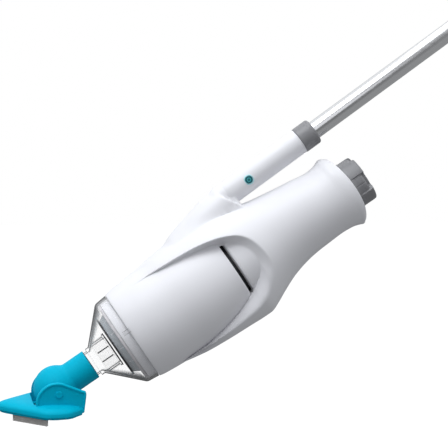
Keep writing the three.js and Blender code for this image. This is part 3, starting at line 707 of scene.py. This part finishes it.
def rear_cover():
    """The flat cover inside the rear rim."""
    profile = rounded([
        (461, 7.5), (461, 48.5), (467.2, 48.5, 1.2), (467.2, 41, 0.6), (468, 40.2, 0.6), (468, 7.5),
    ])
    piece("rear_cover_disc", revolve(profile), MACHINE, "housing", WHITE, ["rear_cover"])


def dial_profile():
    """The dial from the middle of its back to the middle of its face, as (x, r) in short steps."""
    x0, x1, r = DIAL_X0, DIAL_X1, DIAL_R
    corners = [
        (x0, 4.3), (x0, r - 1, 0.8), (x0 + 1, r, 0.8), (x0 + 8, r), (x0 + 14, r), (x1 - 6, r),
        (x1 - 1.2, r - 0.8, 3), (x1, r - 7, 3), (x1, r - 12), (x1, r - 14, 1), (x1 - 1.2, r - 15, 1),
        (x1 - 1.2, 9, 1), (x1 - 0.4, 8, 0.6), (x1 - 0.4, 0),
    ]
    profile = np.vstack(([(x0, 0)], rounded(corners, closed=False, steps=5)))
    fine = [profile[0]]
    for start, end in zip(profile[:-1], profile[1:]):
        count = max(1, round(np.linalg.norm(end - start) / 2.2))
        fine += [start + (end - start) * k / count for k in range(1, count + 1)]
    return np.array(fine)


def mode_dial():
    """The lobed dial: four dips in its side and face, each with a fine groove down its middle."""
    segments = 288
    profile = dial_profile()
    angles = np.linspace(0, 2 * np.pi, segments, endpoint=False)
    turn = (np.degrees(angles) - DIAL_TURN + 45) % 90 - 45  # from the middle of the nearest dip
    dip = np.tile(1 - smoothstep(21.2, 23.6, np.abs(turn)), len(profile))
    groove = np.tile(np.exp(-((turn / 1.1) ** 2)), len(profile))
    x = np.repeat(profile[:, 0], segments)
    r = np.repeat(profile[:, 1], segments)
    on_side = smoothstep(DIAL_X0 + 5.2, DIAL_X0 + 6.4, x) * smoothstep(DIAL_R - 16, DIAL_R - 12, r)
    on_face = smoothstep(DIAL_R - 13.4, DIAL_R - 12, r) * smoothstep(DIAL_X0 + 12, DIAL_X1 - 4, x)
    r = r - (DIAL_SIDE_DIP * dip + DIAL_GROOVE * groove) * on_side
    x = x - DIAL_FACE_DIP * dip * on_face
    around = np.tile(angles, len(profile))
    verts = np.column_stack((x, r * np.cos(around), r * np.sin(around)))
    shape = (verts, grid_faces(len(profile), segments, False, True))
    piece("mode_dial", shape, MACHINE, "dial", GREY, ["dial_knob"], sharp=28)


# ---- pole, socket and buttons ----
def button_hole():
    """The hole through the socket and the pole that both buttons stand in."""
    reach, radius = 30, BUTTON_R + 0.35
    hole = revolve([(-reach, 0), (-reach, radius), (reach, radius), (reach, 0)], 40, "Y")
    return moved(hole, (BUTTON_X, 0, 0))


def socket_tube():
    """The tube that the pole slides into."""
    obj = raw("socket_tube", revolve(rounded([
        (0, SOCKET_BORE), (0, SOCKET_TIP, 1), (14, SOCKET_R, 4), (SOCKET_LENGTH, SOCKET_R, 0.5),
        (SOCKET_LENGTH, SOCKET_BORE),
    ])))
    cut_out(obj, button_hole())
    settle(obj, POLE, "housing", WHITE, ["pole_socket"])


def socket_collar():
    """The grey ring at the upper end of the socket."""
    start = SOCKET_LENGTH + 0.3
    end = start + COLLAR_LENGTH
    shape = revolve(rounded([
        (start, SOCKET_BORE), (start, COLLAR_R - 0.1, 0.8), (start + 4, COLLAR_R), (end - 3, COLLAR_R, 1.4),
        (end - 0.6, COLLAR_R - 1.2, 1.2), (end, COLLAR_R - 3.4, 1), (end, SOCKET_BORE + 0.4, 0.4),
    ]))
    piece("collar_ring", shape, POLE, "housing", GREY, ["socket_collar"])


def pole_section():
    """The aluminium tube and the plug in its upper end."""
    end, bore = POLE_LENGTH - 3, POLE_R - POLE_WALL
    tube = raw("pole_tube", revolve(rounded([
        (POLE_START, bore), (POLE_START, POLE_R, 0.3), (end, POLE_R, 0.3), (end, bore),
    ])))
    cut_out(tube, button_hole())
    settle(tube, POLE, "housing", ALUMINIUM, ["pole_section"])
    plug = revolve(rounded([
        (end - 30, 0), (end - 30, 11, 1), (end - 28, 12.3, 0.8), (end + 0.3, 12.3), (end + 0.3, POLE_R, 0.2),
        (POLE_LENGTH, POLE_R, 1), (POLE_LENGTH, 9, 1), (POLE_LENGTH - 1, 8, 0.8), (POLE_LENGTH - 1, 0),
    ], closed=False), 64)
    piece("pole_end_plug", plug, POLE, "housing", GREY, ["pole_end_insert"])


def pole_button(side, word):
    """A button's cap with a raised ring in a groove, and the bezel around it."""
    top, body = BUTTON_TOP, "button_" + word
    cap = revolve(rounded([
        (10, 0), (10, BUTTON_R, 0.4), (top - 1.2, BUTTON_R, 0.5), (top - 0.2, BUTTON_R - 0.8, 0.5),
        (top - 0.1, 3.5, 0.2), (top - 0.5, 3.3, 0.1), (top - 0.5, 1.9, 0.1), (top - 0.1, 1.7, 0.1), (top, 0),
    ], closed=False), 48, "Y")
    ring = revolve([(top - 0.7, 2.05), (top - 0.15, 2.05), (top - 0.15, 3.15), (top - 0.7, 3.15)], 40, "Y")
    near, far = BUTTON_R + 0.36, BUTTON_R + 1.9
    bezel = revolve(rounded([
        (17.4, near), (17.4, far), (19.15, far, 0.3), (19.85, BUTTON_R + 0.9, 0.5), (19.75, near, 0.2),
    ]), 48, "Y")
    for name, shape, rides, look, replaced in (
        ("button_cap_", cap, body, BUTTON, ["pole_" + body]),
        ("button_ring_", ring, body, BUTTON_MARK, []),
        ("button_bezel_", bezel, "housing", HALO, []),
    ):
        placed = moved(mirrored(shape, side), (BUTTON_X, 0, 0))
        piece(name + word, placed, POLE, rides, look, replaced)


# ---- nose ----
def nose_funnel():
    """The clear cone between the neck's spigot and the front of the housing."""
    shape = revolve(rounded([
        (-28, SPIGOT_R - 0.1), (3, SPIGOT_R - 0.1, 0.3), (3, 23.5, 0.5), (8, 23.5, 1), (52, 69.3, 3),
        (55, 70.8, 1.5), (73, 72.6, 0.5), (73, 70.1, 0.5), (56, 68.3, 1.5), (53, 67, 3), (9.6, 21, 1.5),
        (6, SPIGOT_BORE, 1), (-28, SPIGOT_BORE),
    ], steps=5), 160)
    piece("nose_funnel", shape, MACHINE, "nose", CLEAR, ["nose_cone"], sharp=25)


def nose_duct():
    """The clear duct inside the cone, with four ribs along it."""
    duct = revolve(rounded([
        (13.5, 22), (13.5, 25, 0.4), (34.6, 25, 0.8), (34.6, 28, 0.3), (37, 28, 0.3), (37, 22),
    ]))
    section = ((-0.7, 24.6), (0.7, 24.6), (0.7, 27), (-0.7, 27))
    rib = loft([[(x, y, z) for y, z in section] for x in (14.5, 34.6)])
    ribs = [moved(rib, turn=9 + 90 * k) for k in range(4)]
    piece("nose_duct", duct, MACHINE, "nose", CLEAR, ["inlet_duct"])
    piece("duct_ribs", joined(*ribs), MACHINE, "nose", CLEAR)


def nose_rings():
    """The ring around the duct's mouth, the seal behind the cone, and the front disc of the basket."""
    mouth = revolve(rounded([(37.1, 22.5), (37.1, 28.6, 0.3), (38.2, 28.6, 0.3), (38.2, 22.5)]))
    piece("duct_mouth_ring", mouth, MACHINE, "nose", DARK)
    gasket = revolve(rounded([(54.4, 62, 0.5), (54.4, 67, 1), (58.8, 67, 1), (58.8, 62, 0.5)]), 128)
    piece("gasket_ring", gasket, MACHINE, "nose", RUBBER, ["nose_gasket"])
    disc = revolve(rounded([(41.6, 24), (41.6, 49.4, 0.4), (43.8, 49.4, 0.4), (43.8, 24)]))
    piece("frame_disc", disc, MACHINE, "nose", DARK, ["filter_frame"])


# ---- neck and brush head ----
def hub_arc(radius, start, end, count):
    """Points at a radius around the middle of the hub, as (x, r)."""
    return [(HUB_X + radius * math.cos(t), radius * math.sin(t)) for t in np.linspace(start, end, count)]


def swivel_neck():
    """The neck tube that flares into the hub, open below."""
    bore, step_x = SPIGOT_R + 1.4, -30
    hollow = HUB_R - HUB_WALL
    joint = HUB_X + math.sqrt(HUB_R**2 - NECK_R**2)
    obj = raw("neck_and_hub", revolve(rounded([
        (NECK_END, bore, 0.3), (NECK_END, NECK_R, 0.7), (joint + 8, NECK_R), (joint + 1, NECK_R, 7),
        *hub_arc(HUB_R, math.asin(NECK_R / HUB_R) + 0.16, math.pi, 30),
        *hub_arc(hollow, math.pi, math.asin(SPIGOT_BORE / hollow), 24),
        (step_x, SPIGOT_BORE), (step_x, bore),
    ]), 128))
    level = Matrix.Translation((HUB_X, 0, 0)) @ Matrix.Rotation(BODY_TILT, 4, "Y")
    verts, faces = prism([(-99, -99), (99, -99), (99, 99), (-99, 99)], -80, HUB_CUT)
    cut_out(obj, ([level @ Vector(v) for v in verts], faces))
    settle(obj, NECK, "neck", TEAL, ["swivel_neck"], sharp=40)


def head_plan(count=160):
    """Plan of the head in even steps: a shallow V in front, rounded flanks, narrower behind."""
    half = rounded([
        (-89, 0), (-88.5, 6, 8), (-72, 21, 16), (-34, 53, 6), (-20, 65.2, 16), (2, 65, 8), (16, 62, 14),
        (27, 51, 10), (38, 40, 5), (38, 0),
    ], closed=False, steps=6)
    closed = np.vstack((half, half[-2::-1] * (1, -1)))
    places = np.concatenate(([0], np.cumsum(np.linalg.norm(np.diff(closed, axis=0), axis=1))))
    wanted = np.linspace(0, places[-1], count, endpoint=False)
    return np.column_stack([np.interp(wanted, places, closed[:, k]) for k in (0, 1)])


def shrunk(plan, amount):
    """The plan of the head scaled about its middle, so that its edge comes in by about the amount."""
    middle, half_length, half_width = -22, 60, 65
    return np.column_stack((
        middle + (plan[:, 0] - middle) * (1 - amount / half_length),
        plan[:, 1] * (1 - amount / half_width),
    ))


def well_outline(x0, x1, half, radius):
    """A rounded rectangle in plan."""
    return rounded([(x0, -half, radius), (x0, half, radius), (x1, half, radius), (x1, -half, radius)])


def head_cover():
    """The domed cover, open in the middle for the hub."""
    plan = head_plan()
    levels = [
        (1.2, SOLE + 3.3), (0, SOLE + 4.2), (0, SOLE + 8.6), (0.6, SOLE + 10.4), (2.0, SOLE + 12.0),
        (5, SOLE + 14.0), (9, SOLE + 15.6), (15, SOLE + 17.0), (24, SOLE + 18.0),
    ]
    obj = raw("head_cover", loft([
        np.column_stack((shrunk(plan, amount), np.full(len(plan), z))) for amount, z in levels
    ]))
    cut_out(obj, prism(well_outline(-37, 60, CHEEK, 8), -60, 60))
    settle(obj, HEAD, "head", TEAL, ["head_shell"], sharp=35)


def head_sill():
    """The low wall that closes the well behind the hub."""
    shape = prism(well_outline(29, 38.2, CHEEK + 1, 2), SOLE + 3.5, SOLE + 10)
    piece("head_sill", shape, HEAD, "head", TEAL)


def cheek_outline():
    """Side view of a cheek: an arch over the hub, then a slope down to the rear edge, as (x, z)."""
    cx, cz, r = -3, -13, 31
    arc = [(cx + r * math.cos(t), cz + r * math.sin(t)) for t in np.linspace(math.pi, math.radians(66), 26)]
    rear = [(35, 5.0, 6), (40.5, 3.5, 2.5), (41, -2, 4), (38, CHEEK_FOOT)]
    return rounded([(cx - r, CHEEK_FOOT), *arc, *rear])


def cheek(side):
    """A cheek plate whose outer face stands back inside a rounded rim."""
    outline = cheek_outline()
    rings = []
    for inset, out in ((0, -0.2), (0, 2.6), (0.5, 4.0), (1.6, 4.9), (3.0, 4.9), (4.0, 4.3), (4.6, 3.5)):
        flat = inset_outline(outline, inset)
        flat[:, 1] = np.maximum(flat[:, 1], CHEEK_FOOT)
        rings.append(np.column_stack((flat[:, 0], np.full(len(flat), side * (CHEEK + out)), flat[:, 1])))
    return loft(rings)


def cheek_and_cap(side, word):
    """One cheek plate and the cap over its end of the tilt axis."""
    piece("head_cheek_" + word, cheek(side), HEAD, "head", TEAL, sharp=35)
    profile = rounded([
        (CHEEK + 3, 0), (CHEEK + 3, 5.4), (CHEEK + 5.2, 5.4, 0.8), (CHEEK + 5.4, 4, 0.5), (CHEEK + 5.4, 0),
    ], closed=False)
    cap = mirrored(revolve(profile, 48, "Y"), side)
    piece("pivot_cap_" + word, cap, HEAD, "head", TEAL)


def filament(foot, lean, radius, drop):
    """One nylon filament, from just below the sole down, bent more towards its tip."""
    top = 0.8
    angles = np.linspace(0, 2 * np.pi, BRISTLE_SIDES, endpoint=False)
    rings = []
    for t in (0, 0.5, 1):
        x, y = foot + lean * t * t
        z = SOLE - top - t * (drop - top)
        rings.append([(x + radius * math.cos(angle), y + radius * math.sin(angle), z) for angle in angles])
    return loft(rings)


def bristle_strips():
    """Two dense rows of round nylon filaments, each bent a little its own way."""
    random = np.random.default_rng(5)
    start, end = np.array(BRISTLE_FROM, float), np.array(BRISTLE_TO, float)
    along = (end - start) / np.linalg.norm(end - start)
    across = np.array([-along[1], along[0]])
    length = np.linalg.norm(end - start) - 1.2
    for side, word in ((-1, "left"), (1, "right")):
        filaments = []
        for row in range(BRISTLE_ROWS):
            for place in np.arange(0.4, length, BRISTLE_STEP):
                foot = start + along * (place + 0.6 + random.uniform(-0.15, 0.15))
                aside = (row - BRISTLE_ROWS // 2) * BRISTLE_ROW_GAP
                foot = foot + across * (aside + random.uniform(-0.12, 0.12))
                lean = random.normal(0, 0.22, 2)
                radius = random.uniform(0.15, 0.19)
                drop = BRISTLE + random.uniform(-0.35, 0.15)
                filaments.append(filament(foot, lean, radius, drop))
        shape = mirrored(joined(*filaments), side)
        piece("bristle_row_" + word, shape, HEAD, "head", BRISTLES, ["bristles_" + word])


# ---- filter basket ----
def basket_wall():
    """Places along the basket's wall, and its radius there."""
    x = np.linspace(BASKET[0][0], BASKET[-1][0], 90)
    return x, interpolate(BASKET, x)[:, 0]


def basket_cloth():
    """The cloth sleeve, drawn tight over the wires and sagging a little between them."""
    x, r = basket_wall()
    count, segments = len(x), 160
    angles = np.linspace(0, 2 * np.pi, segments, endpoint=False)
    between_ends = np.sin(np.pi * (x - x[0]) / (x[-1] - x[0]))
    between_wires = 1 - np.abs(np.cos(angles * BASKET_WIRES / 2))
    sag = CLOTH_SAG * np.outer(between_ends, between_wires)
    skins = []
    for depth in (0.3, 0.75):
        reach = r[:, None] - depth - sag
        y, z = reach * np.cos(angles), reach * np.sin(angles)
        skins.append(np.column_stack((np.repeat(x, segments), y.ravel(), z.ravel())))
    outside = grid_faces(count, segments, False, True)
    shift = count * segments
    faces = outside + [tuple(k + shift for k in face[::-1]) for face in outside]
    for row in (0, count - 1):
        for k in range(segments):
            a, b = row * segments + k, row * segments + (k + 1) % segments
            faces.append((a, b, b + shift, a + shift))
    shape = (np.vstack(skins), faces)
    cloth = piece("basket_cloth", shape, MACHINE, "nose", CLOTH, ["filter_basket"])


def basket_wires():
    """The lengthwise wires under the cloth, each standing a hair proud of it."""
    half, sunk, proud = WIRE_HALF_WIDTH, 1.6, 0.05
    x, r = basket_wall()
    wire = loft([
        [(px, -half, pr - sunk), (px, half, pr - sunk), (px, half, pr - proud), (px, -half, pr - proud)]
        for px, pr in zip(x[2::3], r[2::3])
    ])
    wires = [moved(wire, turn=360 / BASKET_WIRES * k) for k in range(BASKET_WIRES)]
    piece("basket_wires", joined(*wires), MACHINE, "nose", WHITE)


# ---- every piece ----
housing_half(-1)
housing_half(1)
debris_chamber()
rear_cover()
mode_dial()
socket_tube()
socket_collar()
pole_section()
pole_button(-1, "left")
pole_button(1, "right")
nose_funnel()
nose_duct()
nose_rings()
swivel_neck()
head_cover()
head_sill()
cheek_and_cap(-1, "left")
cheek_and_cap(1, "right")
bristle_strips()
basket_cloth()
basket_wires()


# ---- carried-over pieces of the frame ----
LOOKS = {
    "white_plastic": WHITE,
    "pearl_plastic": PEARL,
    "teal_plastic": TEAL,
    "clear_plastic": CLEAR,
    "grey_plastic": GREY,
    "dark_plastic": DARK,
    "pole_aluminium": ALUMINIUM,
    "steel": STEEL,
    "rubber": RUBBER,
    "bristle": BRISTLES,
    "filter_mesh": CLOTH,
    "cell_wrap": CELL,
    "board": BOARD,
}


def dress_frame():
    """Gives every node of the frame the look of its material slot."""
    for part in frame["record"]["subparts"]:
        mesh = frame["nodes"][part["node"]].data
        mesh.materials.clear()
        mesh.materials.append(LOOKS[part["material_slot"]])
        mesh.shade_smooth()
        mesh.set_sharp_from_angle(angle=math.radians(28))


dress_frame()


# ---- camera, light and floor ----
CAMERA_AZIMUTH, CAMERA_ELEVATION = math.radians(-7), math.radians(3)
CAMERA_DISTANCE, CAMERA_LENS = 2.64, 141
VIEW_RIGHT, VIEW_UP = 0.1986, 0.2094  # from the spigot to the middle of the view, in metres
FLOOR_DROP = 0.13  # metres from the part down to the floor, more than the released nose hangs down
ROOM_LOW, ROOM_HIGH = 0.31, 0.93  # light of the room from below and from above
ROOM_BEHIND = 0.35  # the share of it that is left behind the camera


def view_axes():
    """The camera's forward, right and up directions."""
    look = Vector((
        -math.sin(CAMERA_AZIMUTH) * math.cos(CAMERA_ELEVATION),
        math.cos(CAMERA_AZIMUTH) * math.cos(CAMERA_ELEVATION),
        -math.sin(CAMERA_ELEVATION),
    ))
    right = Vector((math.cos(CAMERA_AZIMUTH), math.sin(CAMERA_AZIMUTH), 0))
    return look, right, right.cross(look)


def add_camera():
    """Sets up the camera and returns the point that it looks at."""
    look, right, up = view_axes()
    aim = MACHINE.translation + right * VIEW_RIGHT + up * VIEW_UP
    data = bpy.data.cameras.new("camera")
    data.lens = CAMERA_LENS
    data.sensor_width = 36
    camera = bpy.data.objects.new("camera", data)
    camera.location = aim - look * CAMERA_DISTANCE
    camera.rotation_euler = look.to_track_quat("-Z", "Y").to_euler()
    bpy.context.scene.collection.objects.link(camera)
    bpy.context.scene.camera = camera
    return aim


def add_area(name, offset, target, size, power, colour):
    """A round soft light at an offset from its target."""
    data = bpy.data.lights.new(name, "AREA")
    data.shape = "DISK"
    data.size = size
    data.energy = power
    data.color = colour
    light = bpy.data.objects.new(name, data)
    light.location = target + Vector(offset)
    light.rotation_euler = (target - light.location).to_track_quat("-Z", "Y").to_euler()
    bpy.context.scene.collection.objects.link(light)


def add_world():
    """A studio room: bright above, dimmer below and behind the camera, and white where seen directly."""
    world = bpy.data.worlds.new("studio")
    world.use_nodes = True
    bpy.context.scene.world = world
    tree = world.node_tree
    tree.nodes.clear()
    add = partial(add_node, tree)

    def soft_step(value, from_min, from_max, to_min, to_max):
        inputs = {
            "Value": value, "From Min": from_min, "From Max": from_max, "To Min": to_min, "To Max": to_max,
        }
        return add("ShaderNodeMapRange", inputs, interpolation_type="SMOOTHSTEP").outputs["Result"]

    direction = add("ShaderNodeTexCoord").outputs["Generated"]
    height = add("ShaderNodeSeparateXYZ", {"Vector": direction}).outputs["Z"]
    sky = soft_step(height, -0.35, 0.75, 0, 1)
    tones = {"Value": sky, "To Min": ROOM_LOW, "To Max": ROOM_HIGH}
    tone = add("ShaderNodeMapRange", tones).outputs["Result"]
    pair = {0: direction, 1: tuple(-view_axes()[0])}
    facing = add("ShaderNodeVectorMath", pair, operation="DOT_PRODUCT").outputs["Value"]
    behind = soft_step(facing, 0.55, 0.98, 1, ROOM_BEHIND)
    level = add("ShaderNodeMath", {0: tone, 1: behind}, operation="MULTIPLY").outputs["Value"]
    room = add("ShaderNodeBackground", {"Color": (0.96, 0.98, 1.0, 1), "Strength": level}).outputs[0]
    white = add("ShaderNodeBackground", {"Color": (1, 1, 1, 1), "Strength": 1.0}).outputs[0]
    rays = add("ShaderNodeLightPath").outputs
    kinds = {0: rays["Is Camera Ray"], 1: rays["Is Transmission Ray"]}
    seen = add("ShaderNodeMath", kinds, operation="MAXIMUM").outputs["Value"]
    both = add("ShaderNodeMixShader", {0: seen, 1: room, 2: white}).outputs["Shader"]
    add("ShaderNodeOutputWorld", {"Surface": both})


def add_floor(level):
    """A pale floor below the part, much larger than the view."""
    reach = 8.0
    corners = [(-reach, -reach, level), (reach, -reach, level), (reach, reach, level), (-reach, reach, level)]
    mesh = bpy.data.meshes.new("floor")
    mesh.from_pydata(corners, [], [(0, 1, 2, 3)])
    floor = bpy.data.objects.new("floor", mesh)
    bpy.context.scene.collection.objects.link(floor)
    nodes = Nodes("pale_floor")
    nodes.link(nodes.mix(nodes.noise(3, 2), (0.10, 0.10, 0.10, 1), (0.12, 0.12, 0.12, 1)), "Base Color")
    nodes.set(Roughness=0.9, Specular_IOR_Level=0.0, Emission_Color=(1, 1, 1, 1), Emission_Strength=0.95)
    mesh.materials.append(nodes.material)
    floor.visible_diffuse = False
    floor.visible_glossy = False


aim = add_camera()
add_world()
add_area("key", (-0.9, -0.9, 1.9), aim, 1.8, 32, (0.95, 0.97, 1.0))
add_area("top", (0.3, 0.5, 2.0), aim, 1.4, 6, (0.96, 0.97, 1.0))
add_area("front", (-0.3, -2.4, 0.5), aim, 2.0, 7, (0.95, 0.96, 1.0))
add_floor(cad_box[0][2] - FLOOR_DROP)
bpy.context.scene.view_settings.view_transform = "Standard"
